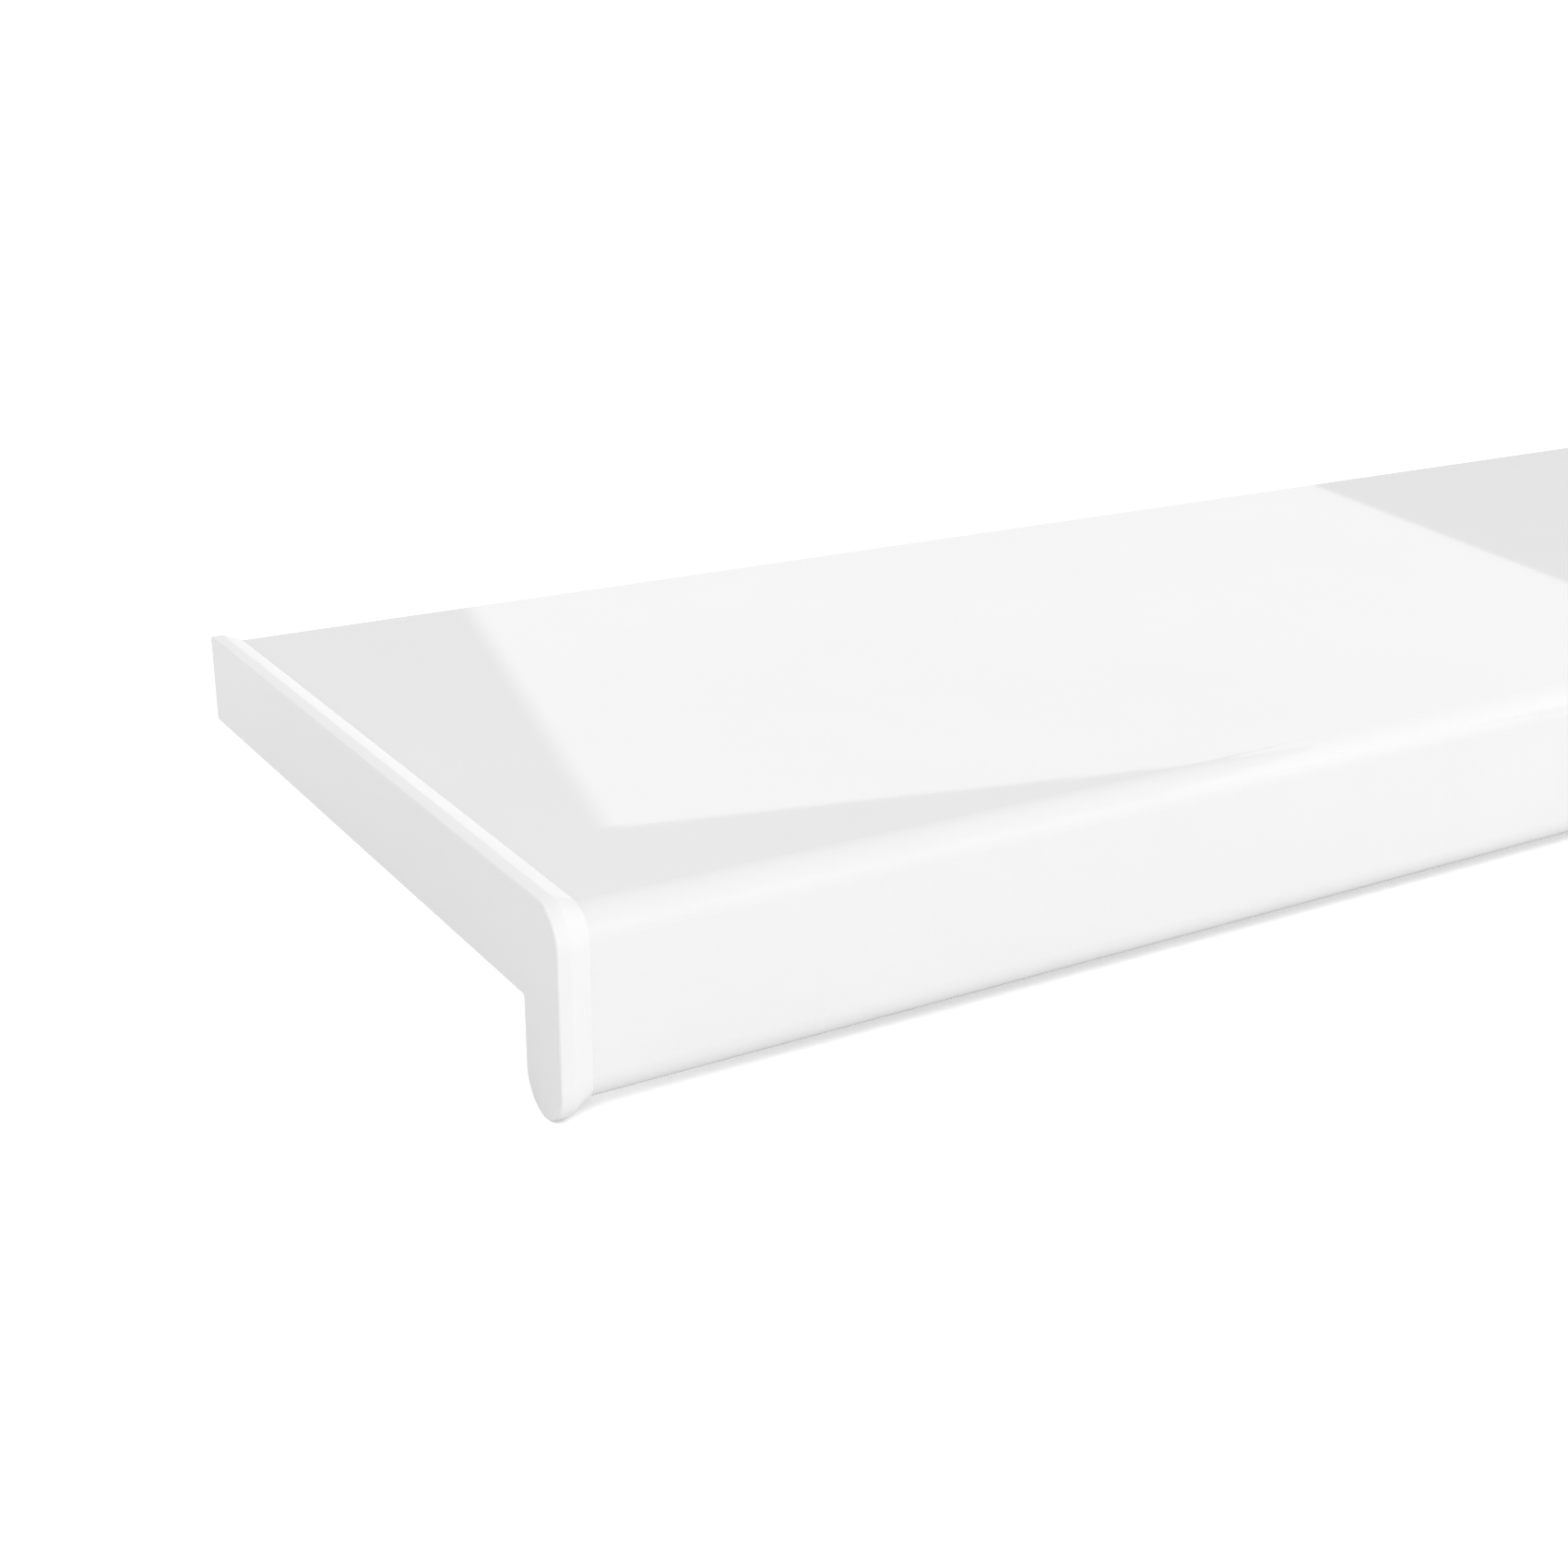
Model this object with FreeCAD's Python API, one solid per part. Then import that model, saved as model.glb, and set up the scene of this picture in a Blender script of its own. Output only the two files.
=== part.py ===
"""Interior window sill board: a hollow-chamber extrusion with a rounded drop nose and an end cap at each end.

Frame: +X along the length, +Y from the nose back to the window frame, +Z up.
The origin is the centre of the underside's bed, the flat that lies on the wall behind the nose.
All sizes are in millimetres.
"""

import FreeCAD
import Part
import math
import os

# The board's outside
board_length = 1000.0
board_depth = 200.0
board_thickness = 20.0
nose_height = 40.0
nose_thickness = 13.0
front_radius = 6.0
heel_radius = 0.5
rear_radius = 0.5

# The board's walls and chambers
top_wall = 2.0
under_wall = 1.8
front_wall = 2.0
nose_back_wall = 1.8
rear_wall = 1.8
web = 1.2
chamber_pitch = 21.0
chamber_corner = 0.8

# The end caps
plate_thickness = 2.0
lip_height = 2.3
rim_flat = 3.0
lip_reach = 5.6
foot_thickness = 0.3
lip_end_margin = 1.0
socket_clearance = 0.1
cap_edge_radius = 0.4
cap_corner_radius = 1.2
crease_radius = 2.0
crease_steps = 3

# Points nearer than this are one point
snap = 1e-6

# Where the section's own zero, the board's front face and top face, lies in the frame
front_y = -(nose_thickness + board_depth) / 2
top_z = board_thickness
board_end_x = board_length / 2
cap_face_x = board_end_x + plate_thickness


def rounded_wire(x, corners):
    """A closed wire in the plane X = x through (y, z, radius) corners, each rounded by its radius."""
    points = [FreeCAD.Vector(x, front_y + y, top_z + z) for y, z, _ in corners]
    spans = []
    for i, (_, _, radius) in enumerate(corners):
        here = points[i]
        back = (points[i - 1] - here).normalize()
        ahead = (points[(i + 1) % len(points)] - here).normalize()
        if radius == 0:
            spans.append((here, None, here))
            continue
        half_angle = back.getAngle(ahead) / 2
        setback = radius / math.tan(half_angle)
        middle = (back + ahead).normalize() * (radius / math.sin(half_angle) - radius)
        spans.append((here + back * setback, here + middle, here + ahead * setback))
    edges = []
    for i, (start, middle, end) in enumerate(spans):
        if middle is not None:
            edges.append(Part.Arc(start, middle, end).toShape())
        following = spans[(i + 1) % len(spans)][0]
        if end.distanceToPoint(following) > snap:
            edges.append(Part.LineSegment(end, following).toShape())
    return Part.Wire(edges)


def sill_wire(x, seen=0.0, hidden=0.0, top_corner=0.0, under_corner=0.0):
    """The sill's outline at X = x, grown by one amount on its seen sides and by another on its hidden ones.

    The last two values are the radii of its rear corners.
    """
    nose_back = nose_thickness + hidden
    nose_bottom = -nose_height - seen
    half_nose = (nose_back + seen) / 2
    return rounded_wire(x, [
        (-seen, seen, front_radius + seen),
        (-seen, nose_bottom, half_nose),
        (nose_back, nose_bottom, half_nose),
        (nose_back, -board_thickness - hidden, heel_radius - hidden),
        (board_depth + hidden, -board_thickness - hidden, under_corner),
        (board_depth + hidden, seen, top_corner),
    ])


def box_corners(y_low, y_high, z_low, z_high, radius=0.0):
    return [
        (y_low, z_high, radius),
        (y_low, z_low, radius),
        (y_high, z_low, radius),
        (y_high, z_high, radius),
    ]


def slab_chambers():
    """The row of like chambers behind the nose, parted by upright webs."""
    first = nose_thickness
    last = board_depth - rear_wall
    count = max(1, round((last - first + web) / chamber_pitch))
    width = (last - first - (count - 1) * web) / count
    for i in range(count):
        y = first + i * (width + web)
        yield box_corners(y, y + width, -board_thickness + under_wall, -top_wall, chamber_corner)


def nose_chambers():
    """The chamber over the nose and the one inside it, parted by a web level with the underside."""
    inside = nose_thickness - nose_back_wall
    floor_of_upper = -board_thickness + under_wall
    half_inside = (inside - front_wall) / 2
    yield [
        (front_wall, -top_wall, front_radius - front_wall),
        (front_wall, floor_of_upper, chamber_corner),
        (inside, floor_of_upper, chamber_corner),
        (inside, -top_wall, chamber_corner),
    ]
    yield [
        (front_wall, floor_of_upper - web, chamber_corner),
        (front_wall, -nose_height + front_wall, half_inside),
        (inside, -nose_height + front_wall, half_inside),
        (inside, floor_of_upper - web, chamber_corner),
    ]


def sill_board():
    """The extrusion: the outline with its chambers cut out, drawn along the length."""
    x = -board_end_x
    section = Part.Face(sill_wire(x, top_corner=rear_radius, under_corner=rear_radius))
    chambers = [Part.Face(rounded_wire(x, corners)) for corners in (*slab_chambers(), *nose_chambers())]
    section = section.cut(chambers)
    return section.Faces[0].extrude(FreeCAD.Vector(board_length, 0, 0))


def cap_wire(x, height):
    """The cap's outline at X = x, standing proud of the board's seen faces by a height."""
    return sill_wire(x, seen=height, top_corner=cap_corner_radius, under_corner=rear_radius)


def end_cap():
    """The cap on the +X end: a plate that closes the chambers, with a lip over the top, front and nose.

    The lip is proudest at its flat rim, then turns over a soft crease and slopes to a thin foot on the board.
    On the hidden sides, where the board meets wall and window frame, the cap is flush with it.
    """
    foot_x = board_end_x - lip_reach
    foot_height = socket_clearance + foot_thickness
    to_board_end = FreeCAD.Vector(lip_reach, 0, 0)
    slope_angle = math.atan2(lip_height - foot_height, cap_face_x - rim_flat - foot_x)
    rim_x = cap_face_x - rim_flat + crease_radius * math.tan(slope_angle / 2)
    sections = [cap_wire(foot_x, foot_height)]
    for step in reversed(range(crease_steps + 1)):
        turn = slope_angle * step / crease_steps
        drop = crease_radius * (1 - math.cos(turn))
        sections.append(cap_wire(rim_x - crease_radius * math.sin(turn), lip_height - drop))
    slope = Part.makeLoft(sections, True, True)
    rim = Part.Face(sections[-1]).extrude(FreeCAD.Vector(cap_face_x - rim_x, 0, 0))
    socket = Part.Face(sill_wire(foot_x, socket_clearance, socket_clearance)).extrude(to_board_end)
    behind_lip = box_corners(
        nose_thickness - lip_end_margin,
        nose_thickness + socket_clearance,
        -nose_height - lip_height,
        -board_thickness,
    )
    trim = Part.Face(rounded_wire(foot_x, behind_lip)).extrude(to_board_end)
    cap = rim.fuse(slope).removeSplitter().cut([socket, trim])
    outer_edges = [e for e in cap.Edges if min(v.X for v in e.Vertexes) > cap_face_x - snap]
    return cap.makeFillet(cap_edge_radius, outer_edges)


def write(name, shape):
    print(name, "valid", shape.isValid(), "solids", len(shape.Solids), "volume", round(shape.Volume, 1))
    shape.exportStep(os.path.join("parts", name + ".step"))


os.makedirs("parts", exist_ok=True)
right_cap = end_cap()
left_cap = right_cap.mirror(FreeCAD.Vector(0, 0, 0), FreeCAD.Vector(1, 0, 0))
write("sill_board", sill_board())
write("end_cap_right", right_cap)
write("end_cap_left", left_cap)
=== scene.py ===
import math

import bpy
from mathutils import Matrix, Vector


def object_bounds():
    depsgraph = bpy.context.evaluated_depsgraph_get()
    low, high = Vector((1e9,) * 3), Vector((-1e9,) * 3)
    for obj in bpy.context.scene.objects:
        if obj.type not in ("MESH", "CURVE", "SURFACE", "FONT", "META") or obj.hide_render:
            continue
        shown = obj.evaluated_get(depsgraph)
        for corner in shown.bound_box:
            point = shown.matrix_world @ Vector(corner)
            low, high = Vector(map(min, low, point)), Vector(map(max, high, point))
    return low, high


bl_info = {
    "name": "Window sill board",
    "version": (1, 0, 0),
    "blender": (4, 5, 0),
    "location": "View3D > Sidebar > Sill",
    "description": "Finishes for a white plastic window sill board and its end caps, with a studio stage",
    "category": "Object",
}

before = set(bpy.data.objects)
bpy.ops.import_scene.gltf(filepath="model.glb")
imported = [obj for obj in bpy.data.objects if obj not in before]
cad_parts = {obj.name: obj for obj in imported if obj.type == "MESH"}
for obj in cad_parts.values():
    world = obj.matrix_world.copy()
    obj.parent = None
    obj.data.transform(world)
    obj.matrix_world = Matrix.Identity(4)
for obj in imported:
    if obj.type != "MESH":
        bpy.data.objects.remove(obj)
CAD_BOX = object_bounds()
BOARD = "sill_board"
CAPS = ("end_cap_left", "end_cap_right")
WHITE = (1.0, 1.0, 1.0, 1.0)

# How squarely a face of the board looks back or down where it counts as rear or bed
SQUARELY = 0.5
# A face that looks down belongs to the bed over this height, and to the nose's round under it
BED_FLOOR = -0.005

# The plastic's patterns, by how often each comes in a metre
PATCH_SCALE = 35.0
SMEAR_SCALE = 9.0
FILM_GRAIN = 900.0
BARE_GRAIN = 1400.0
CAP_GRAIN = 2600.0
# Die lines run along the length, so their pattern hardly changes that way
LINE_SCALE = (0.6, 450.0, 450.0)
# Their height and the etched grain's
LINE_HEIGHT = 0.00002
ETCH_HEIGHT = 0.00005
PLASTIC_IOR = 1.49

# The softbox whose mirror image lies on the board, with its turn in degrees
SOFTBOX_WIDTH = 1.5061
SOFTBOX_DEPTH = 1.4
SOFTBOX_TURN = (0.897, 0.383, -14.405)
SOFTBOX_CENTRE = (1.1185, 1.8628, 0.6535)
# How much of its fall in brightness is sideways, how early it falls, and the soft share of its width
SOFTBOX_SIDEWAYS = 0.5
SOFTBOX_CURVE = 0.3
SOFTBOX_SOFT_EDGE = 0.0235

# How open the floor is where its painted contact shadow is darkest, and where that painted shadow ends
CONTACT_SHADOW_CLOSED = 0.1
CONTACT_SHADOW_OPEN = 0.5
CONTACT_SHADOW_SAMPLES = 4
FLOOR_ROUGHNESS = 0.9
FLOOR_PATCH_SCALE = 3.0
FLOOR_PATCH_TONE = 1.01
# What the camera sees past the floor's edge
BACKDROP_GLOW = 1.05

# Each lamp's name, place, aim, width, depth, power setting and shape, and whether gloss mirrors it
LAMPS = (
    ("front_light", (0.9, -2.6, 0.92), (0.9, 0.0, 0.92), 3.4, 1.8, "front_power", "RECTANGLE", False),
    ("front_glint", (0.9, -2.66, 0.92), (0.9, 0.0, 0.92), 3.4, 1.8, "glint_power", "RECTANGLE", True),
    ("fill_light", (0.1, -1.8, 1.9), (-0.2, 0.0, 0.0), 2.0, 1.2, "fill_power", "RECTANGLE", False),
    ("right_light", (1.2, -0.2, 1.05), (0.0, -0.2, 1.05), 3.0, 1.24, "right_power", "ELLIPSE", True),
    ("back_light", (1.5, 3.4, 0.23), (1.5, 0.0, 0.23), 3.2, 0.42, "back_power", "RECTANGLE", True),
    ("left_light", (-1.35, 0.5, 0.6), (-0.5, 0.0, 0.0), 1.0, 0.8, "left_power", "RECTANGLE", False),
)

# The photograph's viewpoint, with the turn in degrees
CAMERA_PLACE = (-0.650678, -0.433806, 0.178344)
CAMERA_TURN = (69.726, -0.315, -30.982)
SENSOR_WIDTH = 36.0
NEAR_CLIP = 0.01
FAR_CLIP = 200.0


class SillBoardFinish(bpy.types.PropertyGroup):
    """The extruded board: a gloss film on the seen faces, and bare white plastic on the hidden ones."""

    colour: bpy.props.FloatVectorProperty(
        name="Colour", description="Colour of the gloss film",
        default=(0.80, 0.80, 0.80), size=3, min=0.0, max=1.0, subtype="COLOR",
    )
    roughness: bpy.props.FloatProperty(
        name="Roughness", description="How far the film blurs what it reflects",
        default=0.022, min=0.0, max=1.0, subtype="FACTOR",
    )
    roughness_spread: bpy.props.FloatProperty(
        name="Roughness spread", description="How much the roughness changes over a face",
        default=0.006, min=0.0, max=0.3, subtype="FACTOR",
    )
    mottle: bpy.props.FloatProperty(
        name="Mottle", description="How much the brightness changes from place to place",
        default=0.024, min=0.0, max=0.2, subtype="FACTOR",
    )
    die_lines: bpy.props.FloatProperty(
        name="Die lines", description="Strength of the fine lines that the die leaves along the length",
        default=0.05, min=0.0, max=1.0, subtype="FACTOR",
    )
    bare_colour: bpy.props.FloatVectorProperty(
        name="Bare colour", description="Colour of the bare plastic on the faces that wall and frame hide",
        default=(0.79, 0.785, 0.765), size=3, min=0.0, max=1.0, subtype="COLOR",
    )
    bare_roughness: bpy.props.FloatProperty(
        name="Bare roughness", description="How far the bare plastic blurs what it reflects",
        default=0.36, min=0.0, max=1.0, subtype="FACTOR",
    )


class EndCapFinish(bpy.types.PropertyGroup):
    """The moulded caps: a finely etched satin plastic."""

    colour: bpy.props.FloatVectorProperty(
        name="Colour", description="Colour of the moulded plastic",
        default=(0.812, 0.812, 0.812), size=3, min=0.0, max=1.0, subtype="COLOR",
    )
    roughness: bpy.props.FloatProperty(
        name="Roughness", description="How far the plastic blurs what it reflects",
        default=0.38, min=0.0, max=1.0, subtype="FACTOR",
    )
    roughness_spread: bpy.props.FloatProperty(
        name="Roughness spread", description="How much the roughness changes over the plastic",
        default=0.05, min=0.0, max=0.3, subtype="FACTOR",
    )
    mottle: bpy.props.FloatProperty(
        name="Mottle", description="How much the plastic's brightness changes from place to place",
        default=0.012, min=0.0, max=0.2, subtype="FACTOR",
    )
    etch: bpy.props.FloatProperty(
        name="Etch", description="Strength of the fine etched grain from the mould",
        default=0.12, min=0.0, max=1.0, subtype="FACTOR",
    )


class StageSettings(bpy.types.PropertyGroup):
    """The plain floor, the soft lights and the camera."""

    floor_level: bpy.props.FloatProperty(
        name="Floor level", description="Height of the floor that the nose stands on",
        default=CAD_BOX[0].z, unit="LENGTH",
    )
    floor_side: bpy.props.FloatProperty(
        name="Floor side", description="Length of one side of the floor",
        default=80.0, min=2.0, unit="LENGTH",
    )
    floor_colour: bpy.props.FloatVectorProperty(
        name="Floor colour", description="Colour of the floor",
        default=(0.8, 0.8, 0.8), size=3, min=0.0, max=1.0, subtype="COLOR",
    )
    # Painted contact shadow: how far from the sill the floor's glow is darkened
    contact_shadow_reach: bpy.props.FloatProperty(
        name="Contact reach", description="How far from the sill its line of contact on the floor reaches",
        default=0.006, min=0.0, unit="LENGTH",
    )
    # Painted contact shadow: how much of its glow the floor loses next to the sill
    contact_shadow_depth: bpy.props.FloatProperty(
        name="Contact depth", description="How much of its glow the floor loses at the line of contact",
        default=0.9, min=0.0, max=1.0, subtype="FACTOR",
    )
    floor_glow: bpy.props.FloatProperty(
        name="Floor glow", description="Light of its own that the floor shows, as a lit studio table does",
        default=0.72, min=0.0, max=2.0,
    )
    floor_bounce: bpy.props.FloatProperty(
        name="Floor bounce", description="Light of its own that the floor gives the sill",
        default=0.041, min=0.0, max=2.0,
    )
    room_light: bpy.props.FloatProperty(
        name="Room light", description="Brightness of the even light from all round",
        default=0.70, min=0.0, max=5.0,
    )
    softbox_glow: bpy.props.FloatProperty(
        name="Softbox glow", description="Brightness of the softbox at its near corner",
        default=1.512, min=0.0, max=20.0,
    )
    softbox_fall: bpy.props.FloatProperty(
        name="Softbox fall", description="How bright the softbox's far corner is, against its near corner",
        default=0.75, min=0.0, max=2.0, subtype="FACTOR",
    )
    front_power: bpy.props.FloatProperty(
        name="Front light power", description="Power of the front light's share that gloss doesn't mirror",
        default=19.3, min=0.0, unit="POWER",
    )
    glint_power: bpy.props.FloatProperty(
        name="Glint power", description="Power of the front light's share that gloss mirrors",
        default=8.9, min=0.0, unit="POWER",
    )
    fill_power: bpy.props.FloatProperty(
        name="Fill light power", description="Power of the high soft light in front",
        default=13.1, min=0.0, unit="POWER",
    )
    right_power: bpy.props.FloatProperty(
        name="Right light power", description="Power of the upright soft light on the right",
        default=5.97, min=0.0, unit="POWER",
    )
    back_power: bpy.props.FloatProperty(
        name="Back light power", description="Power of the low light strip far behind",
        default=6.9, min=0.0, unit="POWER",
    )
    left_power: bpy.props.FloatProperty(
        name="Left light power", description="Power of the soft light on the left",
        default=3.32, min=0.0, unit="POWER",
    )
    lens: bpy.props.FloatProperty(
        name="Lens", description="Focal length of the camera, in millimetres",
        default=50.0, min=10.0, max=200.0,
    )


def new_node(tree, kind, place, **values):
    """A node of that kind at that place, with its settings and unlinked inputs filled in by name."""
    node = tree.nodes.new(kind)
    node.location = place
    for name, value in values.items():
        if name in node.inputs:
            node.inputs[name].default_value = value
        else:
            setattr(node, name, value)
    return node


def math_node(tree, operation, place, first, second=None, clamp=False):
    """A Math node whose inputs are sockets or plain numbers."""
    node = tree.nodes.new("ShaderNodeMath")
    node.operation = operation
    node.use_clamp = clamp
    node.location = place
    for slot, value in enumerate((first, second)):
        if isinstance(value, bpy.types.NodeSocket):
            tree.links.new(value, node.inputs[slot])
        elif value is not None:
            node.inputs[slot].default_value = value
    return node.outputs[0]


def plastic_skin_group():
    """Shared node group: the soft mottle and the fine grain of a plastic surface."""
    group = bpy.data.node_groups.get("plastic_skin")
    if group:
        return group
    group = bpy.data.node_groups.new("plastic_skin", "ShaderNodeTree")
    face = group.interface
    face.new_socket("Vector", in_out="INPUT", socket_type="NodeSocketVector")
    face.new_socket("Colour", in_out="INPUT", socket_type="NodeSocketColor")
    for name in ("Mottle", "Roughness", "Roughness Spread", "Grain Scale"):
        face.new_socket(name, in_out="INPUT", socket_type="NodeSocketFloat")
    face.new_socket("Colour", in_out="OUTPUT", socket_type="NodeSocketColor")
    face.new_socket("Roughness", in_out="OUTPUT", socket_type="NodeSocketFloat")
    face.new_socket("Grain", in_out="OUTPUT", socket_type="NodeSocketFloat")

    source = new_node(group, "NodeGroupInput", (-900, 0))
    result = new_node(group, "NodeGroupOutput", (700, 0))
    patches = new_node(group, "ShaderNodeTexNoise", (-600, 250), Scale=PATCH_SCALE, Detail=4.0, Roughness=0.6)
    grain = new_node(group, "ShaderNodeTexNoise", (-600, -50), Detail=3.0, Roughness=0.55)
    smears = new_node(group, "ShaderNodeTexNoise", (-600, -350), Scale=SMEAR_SCALE, Detail=2.0)
    for texture in (patches, grain, smears):
        group.links.new(source.outputs["Vector"], texture.inputs["Vector"])
    group.links.new(source.outputs["Grain Scale"], grain.inputs["Scale"])

    both = math_node(group, "ADD", (-380, 150), patches.outputs["Fac"], grain.outputs["Fac"])
    centred = math_node(group, "SUBTRACT", (-200, 150), both, 1.0)
    swing = math_node(group, "MULTIPLY", (-20, 150), centred, source.outputs["Mottle"])
    brightness = math_node(group, "ADD", (160, 150), swing, 1.0)
    tone = new_node(group, "ShaderNodeVectorMath", (360, 200), operation="SCALE")
    group.links.new(source.outputs["Colour"], tone.inputs[0])
    group.links.new(brightness, tone.inputs["Scale"])
    group.links.new(tone.outputs[0], result.inputs["Colour"])

    smear_centred = math_node(group, "SUBTRACT", (-200, -200), smears.outputs["Fac"], 0.5)
    spread = source.outputs["Roughness Spread"]
    smear_swing = math_node(group, "MULTIPLY", (-20, -200), smear_centred, spread)
    roughness = math_node(group, "ADD", (160, -200), smear_swing, source.outputs["Roughness"], clamp=True)
    group.links.new(roughness, result.inputs["Roughness"])
    group.links.new(grain.outputs["Fac"], result.inputs["Grain"])
    return group


def add_skin(tree, place, vector, finish, colour, roughness, grain_scale):
    """Puts the shared skin group into a material, with one finish's values."""
    skin = new_node(tree, "ShaderNodeGroup", place, node_tree=plastic_skin_group())
    skin.inputs["Colour"].default_value = (*colour, 1.0)
    skin.inputs["Mottle"].default_value = finish.mottle
    skin.inputs["Roughness"].default_value = roughness
    skin.inputs["Roughness Spread"].default_value = finish.roughness_spread
    skin.inputs["Grain Scale"].default_value = grain_scale
    tree.links.new(vector, skin.inputs["Vector"])
    return skin


def plastic_material(name):
    """An empty white plastic: its shader and the coordinates of the piece it is on."""
    material = bpy.data.materials.new(name)
    material.use_nodes = True
    tree = material.node_tree
    tree.nodes.clear()
    output = new_node(tree, "ShaderNodeOutputMaterial", (900, 0))
    shader = new_node(tree, "ShaderNodeBsdfPrincipled", (600, 0), IOR=PLASTIC_IOR)
    coordinates = new_node(tree, "ShaderNodeTexCoord", (-900, 0))
    tree.links.new(shader.outputs["BSDF"], output.inputs["Surface"])
    return material, shader, coordinates


def board_material(finish):
    """The board's gloss film, its bare plastic behind and below, and fine die lines along both."""
    material, shader, coordinates = plastic_material("board_gloss_film")
    tree = material.node_tree
    where = coordinates.outputs["Object"]
    film = add_skin(tree, (-400, 300), where, finish, finish.colour, finish.roughness, FILM_GRAIN)
    bare = add_skin(tree, (-400, 50), where, finish, finish.bare_colour, finish.bare_roughness, BARE_GRAIN)

    spot = new_node(tree, "ShaderNodeSeparateXYZ", (-700, -250))
    facing = new_node(tree, "ShaderNodeSeparateXYZ", (-700, -400))
    tree.links.new(where, spot.inputs["Vector"])
    tree.links.new(coordinates.outputs["Normal"], facing.inputs["Vector"])
    rearward = math_node(tree, "GREATER_THAN", (-500, -450), facing.outputs["Y"], SQUARELY)
    downward = math_node(tree, "LESS_THAN", (-500, -350), facing.outputs["Z"], -SQUARELY)
    over_nose = math_node(tree, "GREATER_THAN", (-500, -250), spot.outputs["Z"], BED_FLOOR)
    bed = math_node(tree, "MULTIPLY", (-300, -300), downward, over_nose)
    hidden = math_node(tree, "MAXIMUM", (-100, -350), rearward, bed)

    colour = new_node(tree, "ShaderNodeMix", (150, 300), data_type="RGBA")
    tree.links.new(hidden, colour.inputs[0])
    tree.links.new(film.outputs["Colour"], colour.inputs[6])
    tree.links.new(bare.outputs["Colour"], colour.inputs[7])
    tree.links.new(colour.outputs[2], shader.inputs["Base Color"])
    roughness = new_node(tree, "ShaderNodeMix", (150, 50), data_type="FLOAT")
    tree.links.new(hidden, roughness.inputs[0])
    tree.links.new(film.outputs["Roughness"], roughness.inputs[2])
    tree.links.new(bare.outputs["Roughness"], roughness.inputs[3])
    tree.links.new(roughness.outputs[0], shader.inputs["Roughness"])

    stretch = new_node(tree, "ShaderNodeMapping", (-700, -600), Scale=LINE_SCALE)
    lines = new_node(tree, "ShaderNodeTexNoise", (-500, -600), Scale=1.0, Detail=2.0)
    tree.links.new(where, stretch.inputs["Vector"])
    tree.links.new(stretch.outputs["Vector"], lines.inputs["Vector"])
    bump = new_node(tree, "ShaderNodeBump", (150, -250), Strength=finish.die_lines, Distance=LINE_HEIGHT)
    tree.links.new(lines.outputs["Fac"], bump.inputs["Height"])
    tree.links.new(bump.outputs["Normal"], shader.inputs["Normal"])
    return material


def cap_material(finish):
    """The caps' moulded satin plastic with its fine etched grain."""
    material, shader, coordinates = plastic_material("cap_satin_plastic")
    tree = material.node_tree
    where = coordinates.outputs["Object"]
    skin = add_skin(tree, (-400, 100), where, finish, finish.colour, finish.roughness, CAP_GRAIN)
    tree.links.new(skin.outputs["Colour"], shader.inputs["Base Color"])
    tree.links.new(skin.outputs["Roughness"], shader.inputs["Roughness"])
    etch = new_node(tree, "ShaderNodeBump", (250, -250), Strength=finish.etch, Distance=ETCH_HEIGHT)
    tree.links.new(skin.outputs["Grain"], etch.inputs["Height"])
    tree.links.new(etch.outputs["Normal"], shader.inputs["Normal"])
    return material


def give_material(node_name, material):
    """Puts one material on a CAD node."""
    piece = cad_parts[node_name]
    piece.data.materials.clear()
    piece.data.materials.append(material)


class SILL_OT_finish_board(bpy.types.Operator):
    """Give the board its gloss film, its bare plastic and its die lines"""

    bl_idname = "sill.finish_board"
    bl_label = "Finish the board"

    def execute(self, context):
        give_material(BOARD, board_material(context.scene.sill_board_finish))
        return {"FINISHED"}


class SILL_OT_finish_end_caps(bpy.types.Operator):
    """Give both end caps their moulded satin plastic"""

    bl_idname = "sill.finish_end_caps"
    bl_label = "Finish the end caps"

    def execute(self, context):
        material = cap_material(context.scene.sill_cap_finish)
        for name in CAPS:
            give_material(name, material)
        return {"FINISHED"}


def matt_shader(tree, place, colour, glow):
    """A dull shader that also glows white. Its colour is a socket."""
    matt = new_node(tree, "ShaderNodeBsdfPrincipled", place, Roughness=FLOOR_ROUGHNESS)
    matt.inputs["Specular IOR Level"].default_value = 0.0
    matt.inputs["Emission Color"].default_value = WHITE
    matt.inputs["Emission Strength"].default_value = glow
    tree.links.new(colour, matt.inputs["Base Color"])
    return matt


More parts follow.
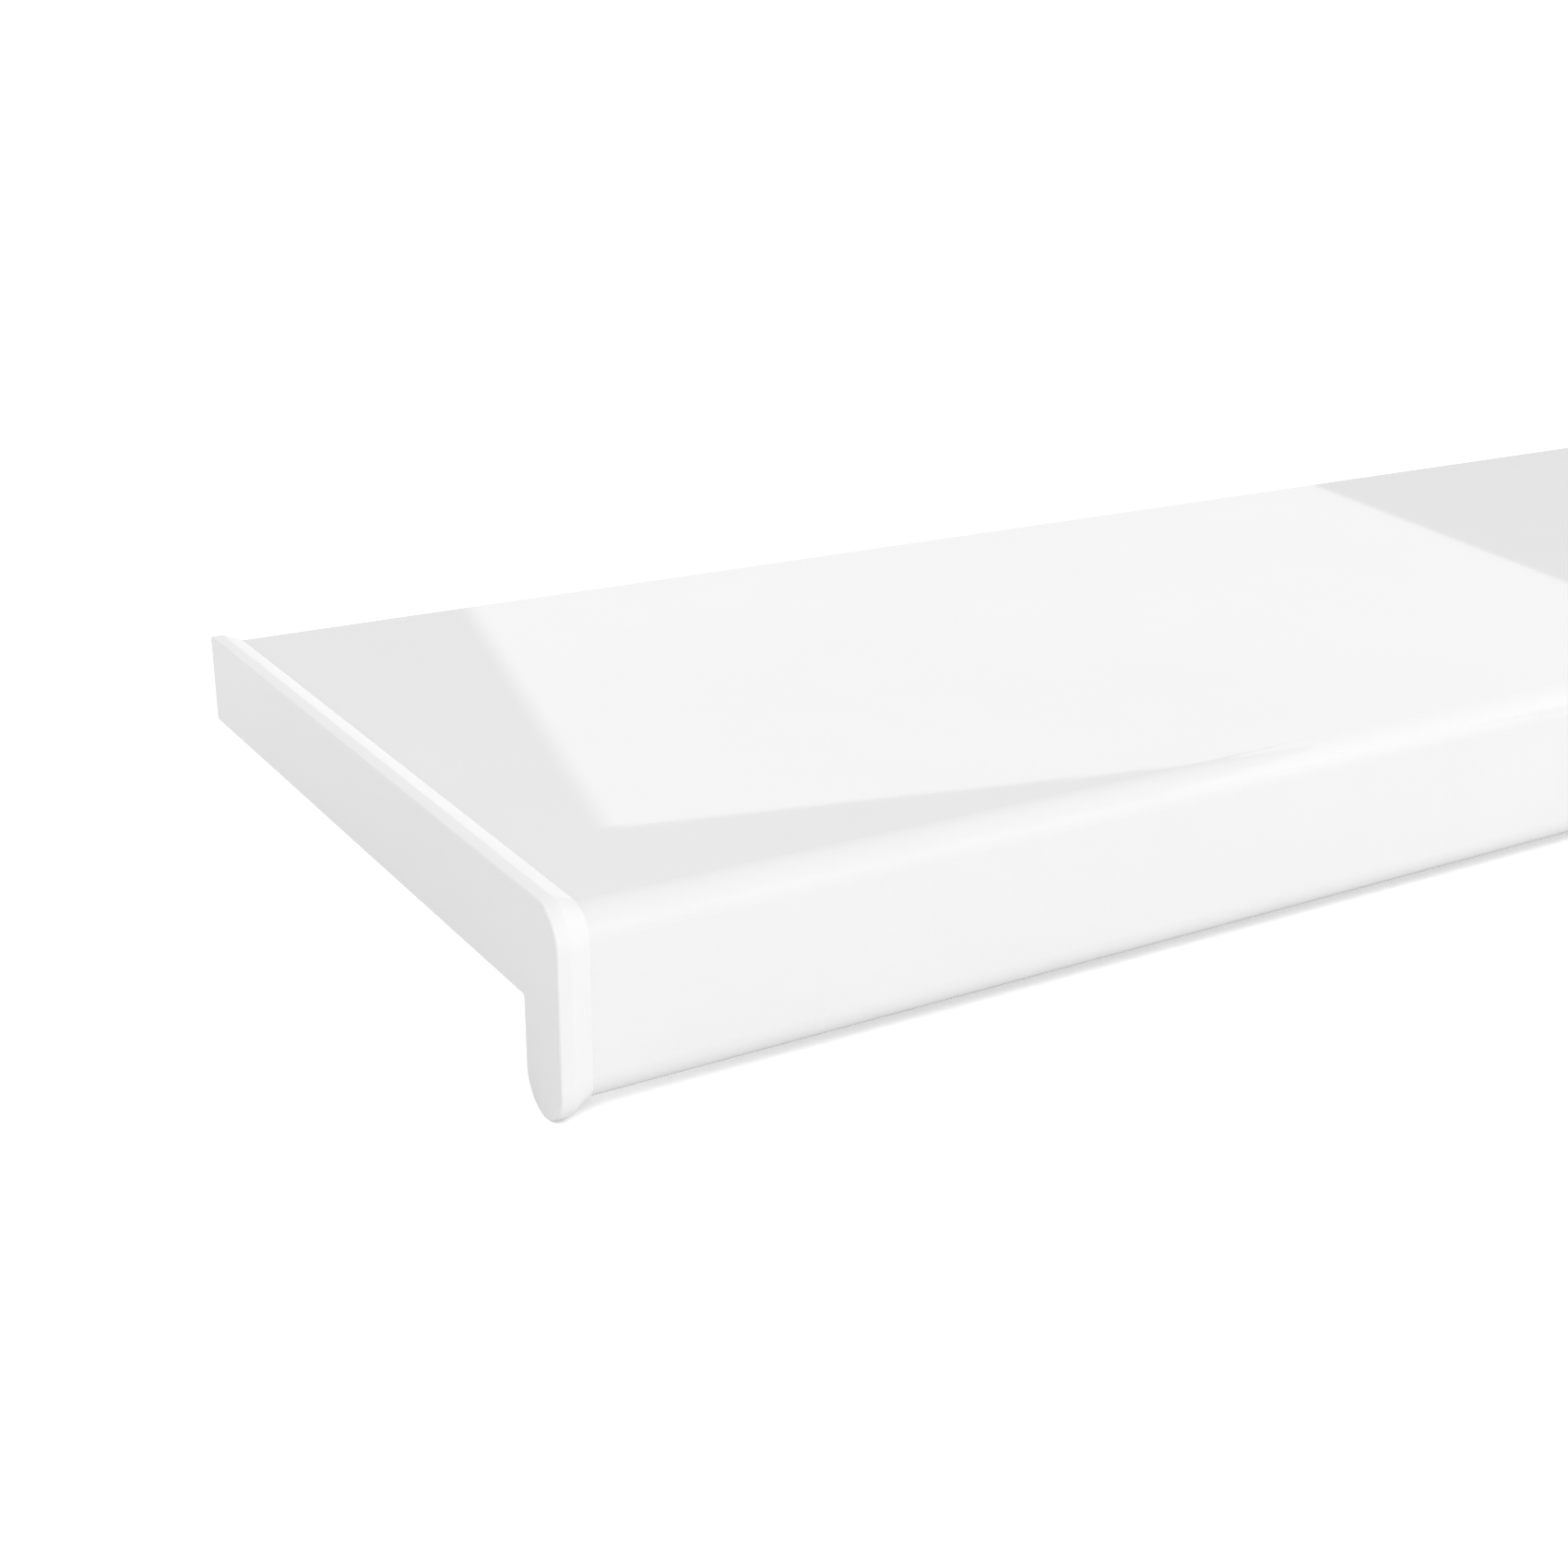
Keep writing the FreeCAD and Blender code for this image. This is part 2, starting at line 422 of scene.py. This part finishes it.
def floor_material(stage):
    """A pale matt studio table that looks lit from within, with a painted contact shadow: a dark line in its
    glow where the sill touches it.

    The sill gets less light from it than the camera sees.
    """
    material = bpy.data.materials.new("studio_floor")
    material.use_nodes = True
    tree = material.node_tree
    tree.nodes.clear()
    output = new_node(tree, "ShaderNodeOutputMaterial", (800, 0))
    place = new_node(tree, "ShaderNodeTexCoord", (-600, 0))
    patches = new_node(tree, "ShaderNodeTexNoise", (-400, 0), Scale=FLOOR_PATCH_SCALE, Detail=2.0)
    tone = new_node(tree, "ShaderNodeMix", (-150, 0), data_type="RGBA")
    tone.inputs[6].default_value = (*stage.floor_colour, 1.0)
    tone.inputs[7].default_value = (*(channel * FLOOR_PATCH_TONE for channel in stage.floor_colour), 1.0)
    tree.links.new(place.outputs["Object"], patches.inputs["Vector"])
    tree.links.new(patches.outputs["Fac"], tone.inputs[0])
    lit = matt_shader(tree, (150, 100), tone.outputs[2], stage.floor_bounce)
    seen = matt_shader(tree, (150, -300), tone.outputs[2], stage.floor_glow)

    # Painted contact shadow: the glow that the camera sees is darkened where the sill is close to the floor
    openness = new_node(tree, "ShaderNodeAmbientOcclusion", (-400, -500), samples=CONTACT_SHADOW_SAMPLES)
    openness.inputs["Distance"].default_value = stage.contact_shadow_reach
    contact = new_node(tree, "ShaderNodeMapRange", (-150, -500))
    contact.inputs["From Min"].default_value = CONTACT_SHADOW_CLOSED
    contact.inputs["From Max"].default_value = CONTACT_SHADOW_OPEN
    contact.inputs["To Min"].default_value = stage.floor_glow * (1.0 - stage.contact_shadow_depth)
    contact.inputs["To Max"].default_value = stage.floor_glow
    tree.links.new(openness.outputs["AO"], contact.inputs["Value"])
    tree.links.new(contact.outputs["Result"], seen.inputs["Emission Strength"])

    ray = new_node(tree, "ShaderNodeLightPath", (100, 400))
    either = new_node(tree, "ShaderNodeMixShader", (600, 0))
    tree.links.new(ray.outputs["Is Camera Ray"], either.inputs["Fac"])
    tree.links.new(lit.outputs["BSDF"], either.inputs[1])
    tree.links.new(seen.outputs["BSDF"], either.inputs[2])
    tree.links.new(either.outputs["Shader"], output.inputs["Surface"])
    return material


def lay_world(stage):
    """Even light from all round, which the camera sees as white."""
    world = bpy.data.worlds.new("studio_room")
    world.use_nodes = True
    tree = world.node_tree
    tree.nodes.clear()
    output = new_node(tree, "ShaderNodeOutputWorld", (400, 0))
    room = new_node(tree, "ShaderNodeBackground", (0, 100), Color=WHITE, Strength=stage.room_light)
    sheet = new_node(tree, "ShaderNodeBackground", (0, -100), Color=WHITE, Strength=BACKDROP_GLOW)
    ray = new_node(tree, "ShaderNodeLightPath", (-200, 300))
    either = new_node(tree, "ShaderNodeMixShader", (200, 0))
    tree.links.new(ray.outputs["Is Camera Ray"], either.inputs["Fac"])
    tree.links.new(room.outputs["Background"], either.inputs[1])
    tree.links.new(sheet.outputs["Background"], either.inputs[2])
    tree.links.new(either.outputs["Shader"], output.inputs["Surface"])
    bpy.context.scene.world = world


def softbox_material(stage):
    """The softbox's cloth, brightest at its near corner, dimmest at its far one and soft on its left edge."""
    material = bpy.data.materials.new("softbox_cloth")
    material.use_nodes = True
    tree = material.node_tree
    tree.nodes.clear()
    output = new_node(tree, "ShaderNodeOutputMaterial", (600, 0))
    cloth = new_node(tree, "ShaderNodeEmission", (400, 0), Color=WHITE)
    place = new_node(tree, "ShaderNodeTexCoord", (-800, 0))
    parts = new_node(tree, "ShaderNodeSeparateXYZ", (-600, 0))
    tree.links.new(place.outputs["UV"], parts.inputs["Vector"])
    across = math_node(tree, "MULTIPLY", (-400, 50), parts.outputs["X"], SOFTBOX_SIDEWAYS)
    reach = math_node(tree, "ADD", (-250, 0), across, parts.outputs["Y"])
    share = math_node(tree, "DIVIDE", (-100, 0), reach, 1.0 + SOFTBOX_SIDEWAYS)
    curve = math_node(tree, "POWER", (50, 0), share, SOFTBOX_CURVE)
    fall = new_node(tree, "ShaderNodeMapRange", (200, 0))
    fall.inputs["To Min"].default_value = stage.softbox_glow
    fall.inputs["To Max"].default_value = stage.softbox_glow * stage.softbox_fall
    tree.links.new(curve, fall.inputs["Value"])
    edge = new_node(tree, "ShaderNodeMapRange", (50, 250), interpolation_type="SMOOTHSTEP")
    edge.inputs["From Max"].default_value = SOFTBOX_SOFT_EDGE
    tree.links.new(parts.outputs["X"], edge.inputs["Value"])
    fade = new_node(tree, "ShaderNodeMapRange", (300, -200))
    fade.inputs["To Min"].default_value = stage.room_light
    tree.links.new(edge.outputs["Result"], fade.inputs["Value"])
    tree.links.new(fall.outputs["Result"], fade.inputs["To Max"])
    tree.links.new(fade.outputs["Result"], cloth.inputs["Strength"])
    tree.links.new(cloth.outputs["Emission"], output.inputs["Surface"])
    return material


def hang_softbox(stage):
    """The softbox above and behind the board, nearly level and turned a little."""
    bpy.ops.mesh.primitive_plane_add(size=1.0, location=(0.0, 0.0, 0.0))
    softbox = bpy.context.object
    softbox.name = "overhead_softbox"
    softbox.scale = (SOFTBOX_WIDTH, SOFTBOX_DEPTH, 1.0)
    softbox.rotation_euler = [math.radians(angle) for angle in SOFTBOX_TURN]
    softbox.location = SOFTBOX_CENTRE
    softbox.visible_camera = False
    softbox.visible_shadow = False
    softbox.data.materials.append(softbox_material(stage))


def add_soft_light(name, place, aim, width, depth, power, shape, mirrored):
    """An area light at one place, facing another. Gloss shows it only where it is mirrored."""
    bpy.ops.object.light_add(type="AREA", location=place)
    lamp = bpy.context.object
    lamp.name = name
    lamp.data.shape = shape
    lamp.data.size = width
    lamp.data.size_y = depth
    lamp.data.energy = power
    lamp.visible_camera = False
    lamp.visible_glossy = mirrored
    lamp.rotation_euler = (Vector(aim) - Vector(place)).to_track_quat("-Z", "Y").to_euler()


def place_camera(lens):
    """The camera at the photograph's viewing angle."""
    bpy.ops.object.camera_add(location=CAMERA_PLACE)
    camera = bpy.context.object
    camera.name = "photo_camera"
    camera.rotation_euler = [math.radians(angle) for angle in CAMERA_TURN]
    camera.data.sensor_width = SENSOR_WIDTH
    camera.data.lens = lens
    camera.data.clip_start = NEAR_CLIP
    camera.data.clip_end = FAR_CLIP
    bpy.context.scene.camera = camera


class SILL_OT_stage(bpy.types.Operator):
    """Lay the floor, light the room, hang the soft lights and place the camera"""

    bl_idname = "sill.stage"
    bl_label = "Set the stage"

    def execute(self, context):
        stage = context.scene.sill_stage
        bpy.ops.object.select_all(action="DESELECT")
        bpy.ops.mesh.primitive_plane_add(size=stage.floor_side, location=(0.0, 0.0, stage.floor_level))
        floor = context.object
        floor.name = "studio_floor"
        floor.data.materials.append(floor_material(stage))

        lay_world(stage)
        hang_softbox(stage)
        for name, place, aim, width, depth, power, shape, mirrored in LAMPS:
            add_soft_light(name, place, aim, width, depth, getattr(stage, power), shape, mirrored)
        place_camera(stage.lens)
        context.scene.view_settings.view_transform = "Standard"
        context.scene.view_settings.look = "None"
        return {"FINISHED"}


class SILL_PT_panel(bpy.types.Panel):
    """The sill's finishes and its stage, each with its settings"""

    bl_idname = "SILL_PT_panel"
    bl_label = "Window sill board"
    bl_space_type = "VIEW_3D"
    bl_region_type = "UI"
    bl_category = "Sill"

    def draw(self, context):
        layout = self.layout
        scene = context.scene
        for operator, settings in (
            ("sill.finish_board", scene.sill_board_finish),
            ("sill.finish_end_caps", scene.sill_cap_finish),
            ("sill.stage", scene.sill_stage),
        ):
            box = layout.box()
            box.operator(operator)
            for name in settings.__annotations__:
                box.prop(settings, name)


CLASSES = (
    SillBoardFinish,
    EndCapFinish,
    StageSettings,
    SILL_OT_finish_board,
    SILL_OT_finish_end_caps,
    SILL_OT_stage,
    SILL_PT_panel,
)


def register():
    for cls in CLASSES:
        bpy.utils.register_class(cls)
    bpy.types.Scene.sill_board_finish = bpy.props.PointerProperty(type=SillBoardFinish)
    bpy.types.Scene.sill_cap_finish = bpy.props.PointerProperty(type=EndCapFinish)
    bpy.types.Scene.sill_stage = bpy.props.PointerProperty(type=StageSettings)


def unregister():
    del bpy.types.Scene.sill_stage
    del bpy.types.Scene.sill_cap_finish
    del bpy.types.Scene.sill_board_finish
    for cls in reversed(CLASSES):
        bpy.utils.unregister_class(cls)


def main():
    register()
    bpy.ops.sill.finish_board()
    bpy.ops.sill.finish_end_caps()
    bpy.ops.sill.stage()


if __name__ == "__main__":
    main()
